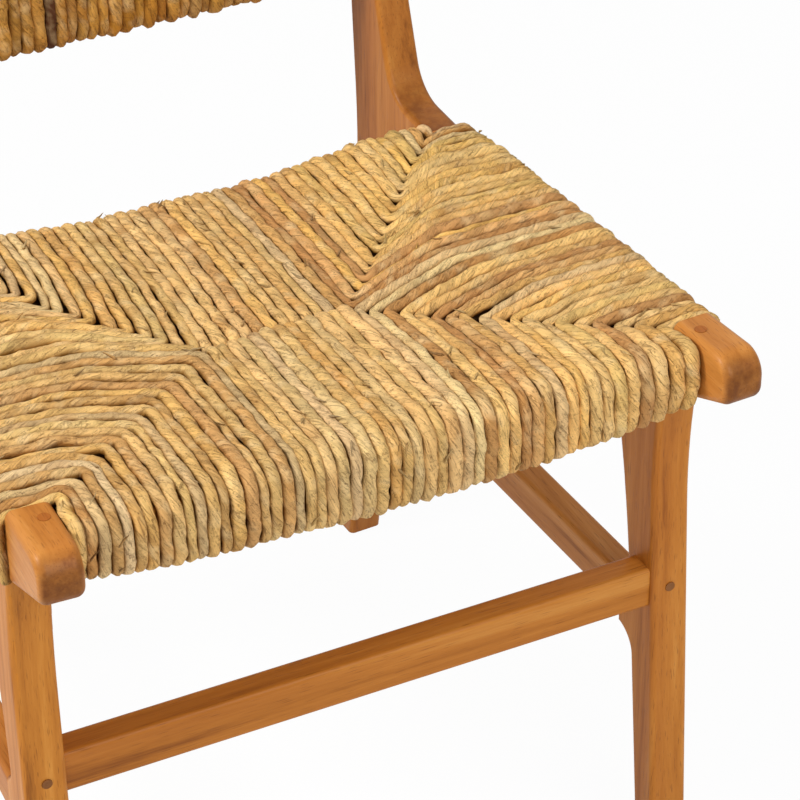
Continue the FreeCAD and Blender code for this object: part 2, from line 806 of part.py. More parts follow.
stretcher_blank = cross_bar(
    "front_stretcher_blank", *FRONT_STRETCHER, s.front_stretcher_height, s.leg_width, s.stretcher_round
)
stretcher_holes = [
    stretcher_peg(f"tenon_peg_hole_{name}", side, s.fit_clearance) for name, side in SIDES.items()
]
nodes.append(carve("front_stretcher", stretcher_blank, stretcher_holes))
nodes.append(
    cross_bar("rear_stretcher", *REAR_STRETCHER, s.rear_stretcher_height, s.post_width, s.stretcher_round)
)
front_rail_blank = cross_bar("front_seat_rail_blank", *FRONT_RAIL, s.front_rail_height, s.rail_width)
front_rail_holes = [
    rail_peg(f"rail_tenon_hole_{name}", side, s.fit_clearance) for name, side in SIDES.items()
]
front_rail = carve("front_seat_rail", front_rail_blank, front_rail_holes)
back_rail = cross_bar("back_seat_rail", *BACK_RAIL, s.back_rail_height, s.rail_width)
back_bars = [
    cross_bar("back_lower_rail", *LOWER_BACK, s.back_bar_height, s.post_width),
    cross_bar("back_upper_rail", *UPPER_BACK, s.back_bar_height, s.post_width),
]
nodes += [front_rail, back_rail] + back_bars

no_spare = as_size(0)
nodes.append(group("stretcher_pegs", [stretcher_peg(f"peg_{n}", i, no_spare) for n, i in SIDES.items()]))
nodes.append(group("rail_pegs", [rail_peg(f"nose_peg_{n}", i, no_spare) for n, i in SIDES.items()]))
nodes += seat_panels(group("seat_wood", rails + legs + [front_rail, back_rail]))
nodes.append(back_panel(back_bars))
doc.recompute()

for feature in doc.Objects:
    if "Invalid" in feature.State or "Error" in feature.State:
        raise RuntimeError(f"{feature.Label} failed: {feature.State}")
for node in nodes:
    if node.Shape.isNull() or not node.Shape.isValid():
        raise RuntimeError(f"{node.Label} has no valid shape")
os.makedirs("parts", exist_ok=True)
for node in nodes:
    node.Shape.exportStep(os.path.join("parts", f"{node.Label}.step"))
    print(node.Label, len(node.Shape.Solids), round(node.Shape.Volume))
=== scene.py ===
import logging
import math
from dataclasses import dataclass, field
from enum import Enum

import bpy
import numpy as np
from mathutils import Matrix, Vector


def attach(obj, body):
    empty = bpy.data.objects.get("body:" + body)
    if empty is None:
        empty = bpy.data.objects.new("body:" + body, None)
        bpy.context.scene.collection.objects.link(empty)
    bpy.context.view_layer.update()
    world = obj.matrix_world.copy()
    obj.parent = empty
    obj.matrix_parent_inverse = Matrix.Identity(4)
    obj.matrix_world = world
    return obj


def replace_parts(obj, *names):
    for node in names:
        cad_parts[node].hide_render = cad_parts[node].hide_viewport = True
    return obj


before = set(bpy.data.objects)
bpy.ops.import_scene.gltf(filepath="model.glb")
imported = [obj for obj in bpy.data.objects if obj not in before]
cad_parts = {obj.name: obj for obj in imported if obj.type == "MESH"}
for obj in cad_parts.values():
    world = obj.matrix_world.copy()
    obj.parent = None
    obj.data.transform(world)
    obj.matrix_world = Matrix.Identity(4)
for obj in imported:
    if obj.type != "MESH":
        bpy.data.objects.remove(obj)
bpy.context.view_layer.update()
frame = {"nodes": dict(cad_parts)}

LOG = logging.getLogger("chair")
BEND_POINTS = 9
WIDEST_TURN = 2.6
BEND_SHARE = 0.48
FINE_STEP = 0.001
HIDDEN_PACE = 2.4
Pair = tuple[float, float]
Point = tuple[float, float, float]
Colour = tuple[float, float, float]


def linear(red: int, green: int, blue: int) -> Colour:
    """A colour as it is seen on a screen, turned into scene values.

    Args:
        red: red from 0 to 255.
        green: green from 0 to 255.
        blue: blue from 0 to 255.

    Returns:
        The three linear values from 0 to 1.
    """
    shares = [value / 255 for value in (red, green, blue)]
    return tuple(c / 12.92 if c <= 0.04045 else ((c + 0.055) / 1.055) ** 2.4 for c in shares)


class GrainAxis(Enum):
    """The way the fibres of a wooden piece run, as stretches along X, Y and Z."""

    ACROSS = (0.045, 1.0, 1.0)
    DEEP = (1.0, 0.045, 1.0)
    UPRIGHT = (1.0, 1.0, 0.045)

    @property
    def along(self) -> Point:
        """The direction of the fibres."""
        return tuple(float(stretch < 1) for stretch in self.value)


class SeamStyle(Enum):
    """How strands turn at a seam of the seat."""

    TIGHT = "tight"
    ROUND = "round"


class Shading:
    """Places and links the nodes of one material or node group."""

    def __init__(self, tree: bpy.types.NodeTree) -> None:
        """Keeps the tree that the nodes go into."""
        self.tree = tree

    def feed(self, node: bpy.types.Node, inputs: dict) -> None:
        """Fills inputs of a node.

        Args:
            node: the node.
            inputs: socket names or numbers, each with a value or with an output socket to link.
        """
        for key, value in inputs.items():
            if isinstance(value, bpy.types.NodeSocket):
                self.tree.links.new(value, node.inputs[key])
            else:
                node.inputs[key].default_value = value

    def add(self, kind: str, inputs: dict | None = None, **settings: object) -> bpy.types.Node:
        """Adds one node.

        Args:
            kind: the node's type name.
            inputs: what its inputs get, as in feed.
            settings: properties of the node itself.

        Returns:
            The new node.
        """
        node = self.tree.nodes.new(kind)
        for name, value in settings.items():
            setattr(node, name, value)
        self.feed(node, inputs or {})
        return node

    def stretched(self, vector: bpy.types.NodeSocket, scale: Point) -> bpy.types.NodeSocket:
        """Places times a factor for each axis, which draws a pattern out along the small ones."""
        return self.add("ShaderNodeMapping", {"Vector": vector, "Scale": scale}).outputs[0]

    def noise(self, vector: bpy.types.NodeSocket, scale: float, detail: float = 2.0,
              rough: float = 0.5) -> bpy.types.NodeSocket:
        """A noise value over the surface.

        Args:
            vector: where the noise is read.
            scale: features per unit.
            detail: octaves of finer noise.
            rough: strength of the finer noise.

        Returns:
            The value's socket.
        """
        values = {"Vector": vector, "Scale": scale, "Detail": detail, "Roughness": rough}
        return self.add("ShaderNodeTexNoise", values).outputs["Fac"]

    def span(self, value: bpy.types.NodeSocket, low: float, high: float, start: float = 0.0,
             end: float = 1.0) -> bpy.types.NodeSocket:
        """A value moved from one span to another, and held at its ends.

        Args:
            value: the value.
            low: value that becomes start.
            high: value that becomes end.
            start: first result.
            end: last result.

        Returns:
            The result's socket.
        """
        inputs = {"Value": value, "From Min": low, "From Max": high, "To Min": start, "To Max": end}
        return self.add("ShaderNodeMapRange", inputs).outputs["Result"]

    def maths(self, operation: str, first: object, second: object) -> bpy.types.NodeSocket:
        """The result of one operation on two values, each a socket or a number."""
        return self.add("ShaderNodeMath", {0: first, 1: second}, operation=operation).outputs[0]

    def line(self, value: bpy.types.NodeSocket, width: float) -> bpy.types.NodeSocket:
        """A mask of thin lines where a noise passes its middle; width is how far from it they reach."""
        apart = self.maths("ABSOLUTE", self.maths("SUBTRACT", value, 0.5), 0.0)
        return self.span(apart, 0.0, width, 1.0, 0.0)

    def ramp(self, value: bpy.types.NodeSocket, stops: list[tuple[float, Colour]]) -> bpy.types.NodeSocket:
        """Colours along a value.

        Args:
            value: the value.
            stops: places from 0 to 1, each with its colour.

        Returns:
            The colour's socket.
        """
        node = self.add("ShaderNodeValToRGB", {"Fac": value})
        points = node.color_ramp.elements
        while len(points) < len(stops):
            points.new(0.5)
        for point, (place, colour) in zip(points, stops):
            point.position = place
            point.color = (*colour, 1.0)
        return node.outputs["Color"]

    def tint(self, share: object, first: object, second: object, blend: str = "MIX") -> bpy.types.NodeSocket:
        """Two colours mixed.

        Args:
            share: share of the second colour.
            first: socket or colour.
            second: socket or colour.
            blend: way of mixing.

        Returns:
            The colour's socket.
        """
        first, second = (tone if isinstance(tone, bpy.types.NodeSocket) else (*tone, 1.0)
                         for tone in (first, second))
        inputs = {0: share, 6: first, 7: second}
        return self.add("ShaderNodeMix", inputs, data_type="RGBA", blend_type=blend).outputs[2]


def new_material(name: str) -> tuple[bpy.types.Material, Shading, bpy.types.Node]:
    """A new material with the means to fill it.

    Args:
        name: its name.

    Returns:
        The material, the sheet for its nodes and its main shader.
    """
    material = bpy.data.materials.new(name)
    material.use_nodes = True
    return material, Shading(material.node_tree), material.node_tree.nodes["Principled BSDF"]


def linked(name: str, data: bpy.types.ID) -> bpy.types.Object:
    """A new object that is linked to the scene.

    Args:
        name: its name.
        data: its mesh, lamp or camera.

    Returns:
        The object.
    """
    item = bpy.data.objects.new(name, data)
    bpy.context.scene.collection.objects.link(item)
    return item


def node_group(name: str, inputs: list[tuple[str, str]], outputs: list[str]) -> bpy.types.NodeTree:
    """An empty shader group with its sockets.

    Args:
        name: the group's name.
        inputs: name and type of each input.
        outputs: names of the outputs, all of them values.

    Returns:
        The group, with its input and output nodes in place.
    """
    group = bpy.data.node_groups.new(name, "ShaderNodeTree")
    for label, kind in inputs:
        group.interface.new_socket(name=label, in_out="INPUT", socket_type=kind)
    for label in outputs:
        group.interface.new_socket(name=label, in_out="OUTPUT", socket_type="NodeSocketFloat")
    group.nodes.new("NodeGroupInput")
    group.nodes.new("NodeGroupOutput")
    return group


class WoodGrain:
    """The grain that all wooden pieces share, as a shader group."""

    def __init__(self) -> None:
        """Builds the group: Fibre is a place stretched along the fibres, Facing how far a face cuts them."""
        inputs = [("Place", "NodeSocketVector"), ("Fibre", "NodeSocketVector"), ("Facing", "NodeSocketFloat")]
        outputs = ["Tone", "Pores", "Patina", "Height", "Cut"]
        self.group = node_group("wood grain", inputs, outputs)
        sheet = Shading(self.group)
        given = self.group.nodes["Group Input"].outputs
        drawn = given["Fibre"]
        broad = sheet.noise(drawn, 42.0, 3.0, 0.55)
        bands = sheet.noise(drawn, 150.0, 2.0, 0.5)
        fibre = sheet.noise(drawn, 700.0, 2.0, 0.6)
        blend = sheet.maths("ADD", sheet.maths("MULTIPLY", broad, 0.5), sheet.maths("MULTIPLY", bands, 0.34))
        tone = sheet.maths("ADD", blend, sheet.maths("MULTIPLY", fibre, 0.16))
        pores = sheet.span(sheet.noise(drawn, 1300.0, 1.0, 0.4), 0.63, 0.74)
        patina = sheet.span(sheet.noise(drawn, 15.0, 2.0, 0.5), 0.4, 0.68)
        height = sheet.maths("SUBTRACT", sheet.maths("MULTIPLY", fibre, 0.6), pores)
        across = sheet.span(sheet.maths("ABSOLUTE", given["Facing"], 0.0), 0.3, 0.85, 0.0, 0.85)
        mottle = sheet.span(sheet.noise(given["Place"], 75.0, 3.0, 0.6), 0.35, 0.65, 0.55, 1.0)
        cut = sheet.maths("MULTIPLY", across, mottle)
        ends = self.group.nodes["Group Output"].inputs
        for label, socket in zip(outputs, (tone, pores, patina, height, cut)):
            self.group.links.new(socket, ends[label])


@dataclass(frozen=True)
class WoodFinish:
    """Satin-varnished hardwood with its fibres along one axis."""

    name: str
    axis: GrainAxis
    dark: Colour = linear(138, 79, 22)
    middle: Colour = linear(179, 111, 37)
    warm: Colour = linear(193, 124, 46)
    light: Colour = linear(211, 146, 66)
    pore: Colour = linear(96, 50, 16)
    worn: Colour = linear(158, 82, 32)
    end: Colour = linear(108, 58, 18)
    gloss: float = 0.42
    shine: float = 0.14
    coat: float = 0.04
    relief: float = 0.0005
    patina_share: float = 0.35
    pore_share: float = 0.45

    def material(self, grain: WoodGrain) -> bpy.types.Material:
        """The finish as a material.

        Args:
            grain: the shared grain.

        Returns:
            The new material.
        """
        material, sheet, shader = new_material(self.name)
        coordinates = sheet.add("ShaderNodeTexCoord").outputs
        place = coordinates["Object"]
        turned = {0: coordinates["Normal"], 1: self.axis.along}
        facing = sheet.add("ShaderNodeVectorMath", turned, operation="DOT_PRODUCT").outputs["Value"]
        inputs = {"Place": place, "Fibre": sheet.stretched(place, self.axis.value), "Facing": facing}
        grown = sheet.add("ShaderNodeGroup", inputs, node_tree=grain.group).outputs
        stops = [(0.34, self.dark), (0.44, self.middle), (0.54, self.warm), (0.68, self.light)]
        colour = sheet.ramp(grown["Tone"], stops)
        colour = sheet.tint(sheet.maths("MULTIPLY", grown["Patina"], self.patina_share), colour, self.worn)
        colour = sheet.tint(sheet.maths("MULTIPLY", grown["Pores"], self.pore_share), colour, self.pore)
        colour = sheet.tint(grown["Cut"], colour, self.end)
        rough = sheet.span(grown["Tone"], 0.3, 0.7, self.gloss + 0.08, self.gloss - 0.06)
        relief = {"Strength": 0.2, "Distance": self.relief, "Height": grown["Height"]}
        bump = sheet.add("ShaderNodeBump", relief).outputs["Normal"]
        sheet.feed(shader, {"Base Color": colour, "Roughness": rough, "Normal": bump,
                            "Specular IOR Level": self.shine, "Coat Weight": self.coat,
                            "Coat Roughness": 0.25})
        return material


@dataclass(frozen=True)
class RopeFinish:
    """Dried leaf, twisted into rope."""

    name: str = "leaf rope"
    # Painted shade: colour of the thin dark lines in the creases and leaf borders.
    painted_crease_shade: Colour = linear(98, 54, 16)
    fleck: Colour = linear(90, 50, 18)
    bleached: Colour = linear(238, 208, 154)
    shine: float = 0.18
    relief: float = 0.0013

    def material(self) -> bpy.types.Material:
        """The finish as a material, which reads each strand's tone, with the light and shade painted into it,
        and its lay.

        Returns:
            The new material.
        """
        material, sheet, shader = new_material(self.name)
        tone = sheet.add("ShaderNodeAttribute", attribute_name="tone").outputs["Color"]
        lay = sheet.add("ShaderNodeAttribute", attribute_name="lay").outputs["Vector"]
        fibre = sheet.noise(sheet.stretched(lay, (1.0, 1.0, 0.07)), 0.7, 3.0, 0.65)
        ridge = sheet.noise(sheet.stretched(lay, (1.0, 1.0, 0.12)), 0.42, 1.5, 0.5)
        crossing = sheet.noise(sheet.stretched(lay, (0.3, 0.3, 1.0)), 0.34, 1.5, 0.6)
        wrinkle = sheet.noise(sheet.stretched(lay, (0.9, 0.9, 0.5)), 0.62, 3.0, 0.7)
        patch = sheet.noise(lay, 0.07, 2.0, 0.5)
        drawn = {"Vector": sheet.stretched(lay, (1.0, 1.0, 0.1)), "Scale": 0.2}
        strip = sheet.add("ShaderNodeTexVoronoi", drawn).outputs["Color"]
        strip = sheet.add("ShaderNodeSeparateColor", {0: strip}).outputs[0]
        border = sheet.add("ShaderNodeTexVoronoi", drawn, feature="DISTANCE_TO_EDGE").outputs["Distance"]
        border = sheet.span(border, 0.0, 0.05, 1.0, 0.0)
        border = sheet.maths("MULTIPLY", border, sheet.span(crossing, 0.42, 0.6))
        light = sheet.span(fibre, 0.28, 0.72, 0.82, 1.12)
        light = sheet.maths("MULTIPLY", light, sheet.span(strip, 0.0, 1.0, 0.88, 1.08))
        grey = sheet.add("ShaderNodeCombineColor", {0: light, 1: light, 2: light}).outputs[0]
        colour = sheet.tint(1.0, tone, grey, "MULTIPLY")
        colour = sheet.tint(sheet.span(patch, 0.52, 0.75, 0.0, 0.45), colour, self.bleached)
        # Painted shade: thin dark lines along the creases, ridges and strip borders; the same lines are
        # dented into the bump.
        painted_crease_shade = sheet.maths("MULTIPLY", sheet.line(crossing, 0.012), 0.6)
        painted_crease_shade = sheet.maths("MAXIMUM", sheet.line(ridge, 0.014), painted_crease_shade)
        painted_crease_shade = sheet.maths("MAXIMUM", painted_crease_shade, sheet.maths("MULTIPLY", border, 0.9))
        colour = sheet.tint(sheet.maths("MULTIPLY", painted_crease_shade, 0.65), colour, self.painted_crease_shade)
        colour = sheet.tint(sheet.span(wrinkle, 0.63, 0.7, 0.0, 0.7), colour, self.fleck)
        height = sheet.maths("MULTIPLY", fibre, 0.9)
        for part, share in ((painted_crease_shade, -0.45), (wrinkle, 0.2), (strip, 0.35)):
            height = sheet.maths("ADD", height, sheet.maths("MULTIPLY", part, share))
        relief = {"Strength": 0.9, "Distance": self.relief, "Height": height}
        bump = sheet.add("ShaderNodeBump", relief).outputs["Normal"]
        rough = sheet.span(fibre, 0.3, 0.7, 0.88, 0.7)
        sheet.feed(shader, {"Base Color": colour, "Roughness": rough, "Normal": bump,
                            "Specular IOR Level": self.shine})
        return material


def distances(line: np.ndarray) -> np.ndarray:
    """The distance of each point of a line from its start, along the line."""
    return np.concatenate([[0.0], np.cumsum(np.linalg.norm(np.diff(line, axis=0), axis=1))])


def rounded(corners: list[Point], radii: list[float], step: float, hidden: float = 0.0) -> np.ndarray:
    """A line through corners, with each inner corner rounded, in even steps.

    Args:
        corners: the corners.
        radii: a radius for each corner; the ends have none.
        step: distance between points.
        hidden: height below which the steps are wider.

    Returns:
        The points, one row each.
    """
    points = [np.array(corner, float) for corner in corners]
    line = [points[0]]
    shares = np.linspace(0.0, 1.0, BEND_POINTS)[:, None]
    for before, here, after, radius in zip(points, points[1:], points[2:], radii[1:]):
        inward, outward = here - before, after - here
        reach_in, reach_out = np.linalg.norm(inward), np.linalg.norm(outward)
        turn = math.acos(float(np.clip(inward @ outward / (reach_in * reach_out), -1.0, 1.0)))
        cut = min(radius * math.tan(min(turn, WIDEST_TURN) / 2), BEND_SHARE * min(reach_in, reach_out))
        start, end = here - inward / reach_in * cut, here + outward / reach_out * cut
        line.extend((1 - shares) ** 2 * start + 2 * shares * (1 - shares) * here + shares ** 2 * end)
    line.append(points[-1])
    line = np.array(line)
    run = distances(line)
    dense = np.linspace(0.0, run[-1], int(run[-1] / FINE_STEP) + 2)
    line = np.stack([np.interp(dense, run, line[:, axis]) for axis in range(3)], axis=1)
    pace = np.where(line[:, 2] < hidden, HIDDEN_PACE * step, step)
    tally = np.concatenate([[0.0], np.cumsum(np.diff(dense) / pace[1:])])
    places = np.interp(np.linspace(0.0, tally[-1], max(8, int(tally[-1]) + 1)), tally, dense)
    return np.stack([np.interp(places, dense, line[:, axis]) for axis in range(3)], axis=1)


def wander(places: np.ndarray, random: np.random.Generator, waves: tuple[float, ...]) -> np.ndarray:
    """A smooth random line, about one high.

    Args:
        places: distances along a strand.
        random: the source of its phases.
        waves: lengths of the waves that add up.

    Returns:
        A value for each place.
    """
    total = np.zeros_like(places)
    for wave in waves:
        length = wave * random.uniform(0.8, 1.25)
        total += random.uniform(0.5, 1.0) * np.sin(2 * np.pi * (places / length + random.random()))
    return total / math.sqrt(len(waves))


@dataclass(frozen=True)
class LeafTones:
    """The tones that strands of one batch of leaf have, and how common each is."""

    tones: tuple[Colour, ...] = (
        linear(229, 187, 119), linear(229, 182, 107), linear(223, 186, 130),
        linear(218, 168, 102), linear(192, 141, 84), linear(229, 196, 138))
    shares: tuple[float, ...] = (0.42, 0.23, 0.13, 0.12, 0.02, 0.08)
    brown_shares: tuple[float, ...] = (0.3, 0.28, 0.08, 0.24, 0.06, 0.04)
    brown: Colour = linear(178, 124, 62)
    pale: Colour = linear(240, 210, 148)

    def pick(self, random: np.random.Generator, browned: float = 0.0) -> np.ndarray:
        """A tone for one strand.

        Args:
            random: the source of the choice.
            browned: 0 for the usual batch, 1 for a browner one.

        Returns:
            The colour, with a little variety.
        """
        shares = (1 - browned) * np.array(self.shares) + browned * np.array(self.brown_shares)
        tone = np.array(self.tones[int(random.choice(len(self.tones), p=shares / shares.sum()))])
        return tone * random.uniform(0.92, 1.07) * (1 + random.normal(0.0, (0.014, 0.009, 0.06)))

    def along(self, tone: np.ndarray, run: np.ndarray, random: np.random.Generator) -> np.ndarray:
        """The tone along a strand, with browner and paler stretches.

        Args:
            tone: the strand's main tone.
            run: distances along the strand.
            random: the source of the stretches.

        Returns:
            A colour for each distance.
        """
        bright = 1 + 0.07 * wander(run, random, (0.16, 0.07, 0.03))
        brown = np.clip(0.55 * wander(run, random, (0.23, 0.1, 0.045)) - 0.22, 0.0, 0.6)[:, None]
        pale = np.clip(0.5 * wander(run, random, (0.19, 0.08, 0.04)) - 0.25, 0.0, 0.5)[:, None]
        colour = tone[None, :] * (1 - brown) + np.array(self.brown) * brown
        colour = colour * (1 - pale) + np.array(self.pale) * pale
        return np.clip(colour * bright[:, None], 0.01, 0.92)


def leaf_object(name: str, points: np.ndarray, faces: list[tuple[int, ...]], lay: np.ndarray,
                tone: np.ndarray, material: bpy.types.Material) -> bpy.types.Object:
    """A piece of leaf, with the lay and the tone that its material reads.

    Args:
        name: its name.
        points: its points, one row each.
        faces: numbers of the points of each face.
        lay: for each point, its place on the leaf, with the fibres along Z.
        tone: for each point, its colour, which can carry painted light and shade.
        material: its material.

    Returns:
        The object, linked to the scene.
    """
    mesh = bpy.data.meshes.new(name)
    mesh.from_pydata(points.tolist(), [], faces)
    mesh.polygons.foreach_set("use_smooth", np.ones(len(mesh.polygons), bool))
    places = mesh.attributes.new("lay", "FLOAT_VECTOR", "POINT")
    places.data.foreach_set("vector", lay.astype(np.float32).ravel())
    colours = mesh.attributes.new("tone", "FLOAT_COLOR", "POINT")
    opaque = np.concatenate([tone, np.ones((len(tone), 1))], axis=1)
    colours.data.foreach_set("color", opaque.astype(np.float32).ravel())
    mesh.materials.append(material)
    mesh.update()
    LOG.info("%s: %d points", name, len(points))
    return linked(name, mesh)


@dataclass(frozen=True)
class TornEnds:
    """Ranges of the thin ends of leaf that lift off the strands."""

    angle: Pair = (0.25, 0.8)
    lift: Pair = (0.02, 0.24)
    length: Pair = (0.004, 0.009)
    width: Pair = (0.16, 0.28)
    tone: Pair = (0.6, 1.05)
    lowest: float = -0.3


@dataclass
class RopeMesh:
    """Collects strands of rope and makes one mesh of them."""

    name: str
    random: np.random.Generator
    tones: LeafTones = LeafTones()
    torn: TornEnds = TornEnds()
    ring: int = 12
    radius: float = 0.0042
    twist: float = 0.044
    stray: float = 0.0007
    bulge: float = 0.06
    ruffle: float = 0.024
    tip: float = 0.002
    # Painted shade: the next three values darken each strand's colour where its surface faces into the weave,
    # in the grooves between strands.
    painted_groove_shade: Colour = (0.46, 0.32, 0.14)
    painted_shade_edge: float = -0.3
    painted_shade_width: float = 0.65
    points: list[np.ndarray] = field(default_factory=list)
    faces: list[np.ndarray] = field(default_factory=list)
    lays: list[np.ndarray] = field(default_factory=list)
    colours: list[np.ndarray] = field(default_factory=list)
    runs: list[tuple[np.ndarray, np.ndarray, np.ndarray]] = field(default_factory=list)
    count: int = 0

    def strand(self, path: np.ndarray, outward: np.ndarray, tone: np.ndarray,
               swell: np.ndarray | float) -> None:
        """Adds one strand.

        Args:
            path: the points that its middle follows.
            outward: at each point, the way that faces out of the weave.
            tone: its main tone.
            swell: its thickness along the path, as shares of the usual one.
        """
        random = self.random
        self.runs.append((path, outward, tone))
        run = distances(path)
        tangent, normal, side = self.axes(path)
        path = path + normal * (self.stray * wander(run, random, (0.11, 0.047, 0.026)))[:, None]
        path = path + side * (self.stray * wander(run, random, (0.13, 0.052, 0.028)))[:, None]
        angles = np.linspace(0.0, 2 * np.pi, self.ring, endpoint=False)
        cosine, sine = np.cos(angles), np.sin(angles)
        offset = random.uniform(0.0, 2 * np.pi)
        pitch = self.twist * random.uniform(0.75, 1.35)
        turns = 2 * np.pi * run / pitch + offset + 0.6 * wander(run, random, (0.06, 0.11))
        turned = angles[None, :] + turns[:, None]
        thick = self.radius * swell * (1 + self.bulge * wander(run, random, (0.09, 0.034, 0.015, 0.008)))
        lobes = 1 + 0.04 * np.cos(2 * turned + 0.4) + 0.05 * np.cos(3 * turned + offset)
        lobes = lobes + self.ruffle * random.standard_normal(turned.shape)
        out = np.stack([np.einsum("ij,ij->i", outward, normal), np.einsum("ij,ij->i", outward, side)])
        out /= np.linalg.norm(out, axis=0) + 1e-9
        facing = cosine * out[0][:, None] + sine * out[1][:, None]
        spread = (thick[:, None] * lobes)[..., None]
        spokes = cosine[None, :, None] * normal[:, None, :] + sine[None, :, None] * side[:, None, :]
        rings = path[:, None, :] + spread * spokes
        ends = np.stack([path[0] - tangent[0] * self.tip, path[-1] + tangent[-1] * self.tip])
        self.points.append(np.concatenate([rings.reshape(-1, 3), ends]))
        self.skin(len(path))
        reach = np.broadcast_to((run * 1000 + random.uniform(0.0, 900.0))[:, None], turned.shape)
        lay = np.stack([4.5 * np.cos(turned), 4.5 * np.sin(turned), reach], axis=-1).reshape(-1, 3)
        self.lays.append(np.concatenate([lay, lay[:1], lay[-1:]]))
        # Painted shade: the colour darkens towards the groove colour where the strand's surface faces into
        # the weave.
        open_share = np.clip((facing - self.painted_shade_edge) / self.painted_shade_width, 0.0, 1.0)
        open_share = (open_share * open_share * (3 - 2 * open_share))[..., None]
        shade = np.array(self.painted_groove_shade) * (1 - open_share) + open_share
        colour = (self.tones.along(tone, run, random)[:, None, :] * shade).reshape(-1, 3)
        self.colours.append(np.concatenate([colour, colour[:1], colour[-1:]]))
        self.count += len(self.points[-1])

    @staticmethod
    def axes(path: np.ndarray) -> tuple[np.ndarray, np.ndarray, np.ndarray]:
        """The way along a strand, and two ways square to it that turn as little as they can.

        Args:
            path: the strand's points.

        Returns:
            Three directions for each point.
        """
        tangent = np.gradient(path, axis=0)
        tangent /= np.linalg.norm(tangent, axis=1)[:, None]
        normal = np.zeros_like(path)
        first = np.cross(tangent[0], (0.3, 0.5, 0.8))
        normal[0] = first / np.linalg.norm(first)
        for here in range(1, len(path)):
            carried = normal[here - 1] - tangent[here] * (normal[here - 1] @ tangent[here])
            normal[here] = carried / np.linalg.norm(carried)
        return tangent, normal, np.cross(tangent, normal)

    def fray(self, count: int) -> None:
        """Adds thin torn ends of leaf that lift off the strands.

        Args:
            count: how many there are.
        """
        random, torn = self.random, self.torn
        strands = list(self.runs)
        shares = np.linspace(0.0, 1.0, 7)[:, None]
        while count:
            path, outward, tone = strands[int(random.integers(len(strands)))]
            here = int(random.integers(3, len(path) - 3))
            along = path[here + 1] - path[here - 1]
            along /= np.linalg.norm(along)
            out = outward[here] - along * (outward[here] @ along)
            out /= np.linalg.norm(out)
            if out[2] < torn.lowest:
                continue
            angle = random.uniform(*torn.angle) * random.choice((-1, 1))
            way = (along * math.cos(angle) + np.cross(out, along) * math.sin(angle)) * random.choice((-1, 1))
            rise = self.radius * (0.95 + random.uniform(*torn.lift) * shares ** 2)
            line = path[here] + out * rise + way * (random.uniform(*torn.length) * shares)
            slim = random.uniform(*torn.width) * (1 - 0.6 * shares[:, 0])
            self.strand(line, np.tile(out, (len(line), 1)), tone * random.uniform(*torn.tone), slim)
            count -= 1

    def skin(self, length: int) -> None:
        """Adds the faces of one strand, four-sided along it and triangles at its ends.

        Args:
            length: number of rings.
        """
        rows, columns = np.meshgrid(np.arange(length - 1), np.arange(self.ring), indexing="ij")
        following = (columns + 1) % self.ring
        low, high = rows * self.ring, (rows + 1) * self.ring
        quads = np.stack([low + columns, low + following, high + following, high + columns], axis=-1)
        around = np.arange(self.ring)
        beside = (around + 1) % self.ring
        last = (length - 1) * self.ring
        tip = np.full(self.ring, length * self.ring)
        first_cap = np.stack([tip, beside, around], axis=-1)
        last_cap = np.stack([tip + 1, last + around, last + beside], axis=-1)
        self.faces += [self.count + part for part in (quads.reshape(-1, 4), first_cap, last_cap)]

    def piece(self, material: bpy.types.Material) -> bpy.types.Object:
        """Makes the object.

        Args:
            material: its material.

        Returns:
            The object, linked to the scene.
        """
        faces = [tuple(face) for part in self.faces for face in part.tolist()]
        LOG.info("%s: %d strands", self.name, len(self.points))
        return leaf_object(self.name, np.concatenate(self.points), faces, np.concatenate(self.lays),
                           np.concatenate(self.colours), material)


@dataclass(frozen=True)
class RailRope:
    """How strands lie on the front or the back rail, and by the bridge in the middle."""

    way: int
    edge: float
    end: float
    seam: float
    turns: int
    count: int
    bend: float
    thin: float
    near: float
    beyond: float
    crest: float


